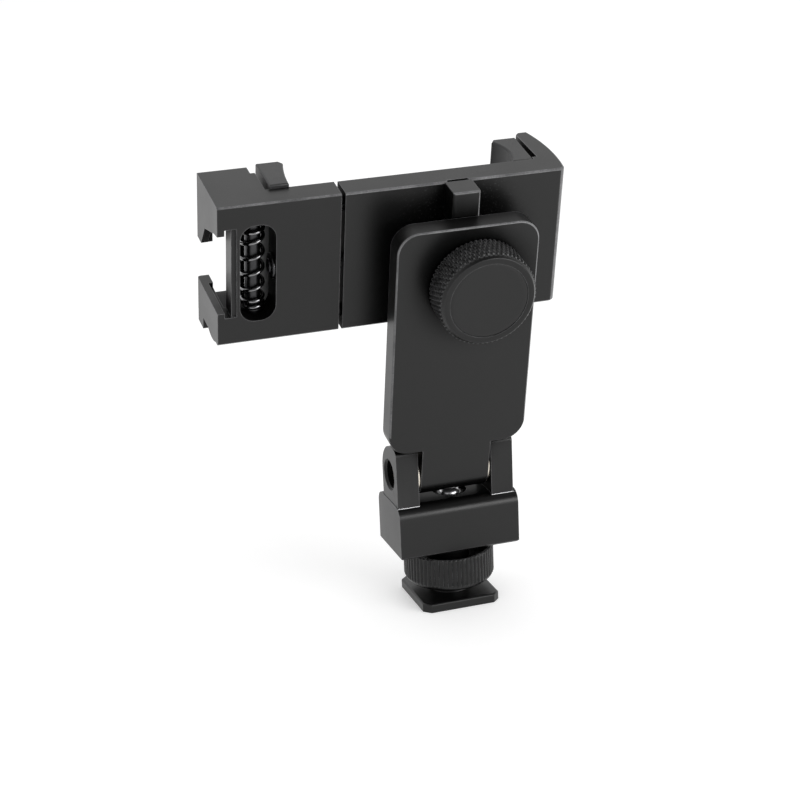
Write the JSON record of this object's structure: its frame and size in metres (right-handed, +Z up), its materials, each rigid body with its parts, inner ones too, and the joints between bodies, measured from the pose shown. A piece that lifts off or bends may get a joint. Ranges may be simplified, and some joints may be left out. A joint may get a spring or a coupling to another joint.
{
  "type": "tripod phone mount adapter",
  "caption": "Spring-jawed phone clamp that turns and tilts on a hinged arm, over a shoe foot with a lock nut and a tripod thread.",
  "frame": {"origin": "centre of the shoe foot's underside, at the mouth of the tripod thread", "axes": "+Z up out of the foot; +X to the right along the hinge and the clamp's sliding direction; -Y to the knob's side"},
  "size_m": [0.0787, 0.0428, 0.1065],
  "materials": {
    "black_anodised": "satin black anodised, fine bead-blasted grain, bright worn edges",
    "black_nylon": "matt moulded nylon",
    "chrome": "bright chrome plate",
    "steel": "turned, dull",
    "spring_steel": "dark drawn wire, glossy",
    "black_steel": "black oxide",
    "brass": "turned brass",
    "pale_brass": "pale plated brass, thin edge",
    "black_rubber": "satin black, fine grain"
  },
  "bodies": {
    "base": {"shoe_foot": "black_anodised", "base_yoke": "black_anodised", "yoke_screw": "chrome", "yoke_screw_washer": "steel", "hinge_screw": "black_steel", "hinge_nut": "pale_brass", "hinge_washers": "pale_brass"},
    "nut_washer": {"nut_washer": "black_nylon"},
    "lock_nut": {"lock_nut": "black_anodised"},
    "arm": {"arm": "black_anodised", "knob_washer": "black_nylon", "friction_ring": "black_nylon"},
    "knob": {"knob": "black_anodised", "knob_cap": "black_anodised", "knob_screw": "steel"},
    "clamp": {"hub": "black_anodised", "hub_screws": "black_steel", "tab": "black_anodised", "clamp_plate": "black_anodised", "right_pad": "black_rubber", "draw_bush": "black_nylon", "return_spring": "spring_steel"},
    "jaw": {"left_jaw": "black_anodised", "left_pad": "black_rubber", "cross_rod": "black_steel", "spring_seats": "black_steel", "window_spring": "spring_steel", "draw_rod": "black_steel", "draw_washer": "black_steel", "draw_collar": "brass", "guide_rods": "black_steel"}
  },
  "joints": [
    {"name": "nut_travel", "type": "slide", "parent": "base", "child": "nut_washer", "axis": [0, 0, 1], "range_m": [-0.0019, 0.0009]},
    {"name": "nut_turn", "type": "hinge", "parent": "nut_washer", "child": "lock_nut", "pos_m": [0, 0, 0.0086], "axis": [0, 0, 1], "range_deg": [-550, 262]},
    {"name": "arm_tilt", "type": "hinge", "parent": "base", "child": "arm", "pos_m": [0, -0.0012, 0.0324], "axis": [1, 0, 0], "range_deg": [-104, 76]},
    {"name": "knob_turn", "type": "hinge", "parent": "arm", "child": "knob", "pos_m": [0.0021, -0.01914, 0.07997], "axis": [0, -0.9703, -0.2419], "range_deg": [0, 360]},
    {"name": "clamp_turn", "type": "hinge", "parent": "arm", "child": "clamp", "pos_m": [0.0021, -0.01342, 0.0814], "axis": [0, 0.9703, 0.2419], "range_deg": [0, 90]},
    {"name": "jaw_slide", "type": "slide", "parent": "clamp", "child": "jaw", "axis": [-1, 0, 0], "range_m": [0, 0.03], "stiffness_N_per_m": 250, "springref_m": -0.012, "deforming": ["return_spring"]}
  ],
  "couplings": [
    {"joint": "nut_turn", "follows": "nut_travel", "rad_per_m": 5026.5}
  ]
}
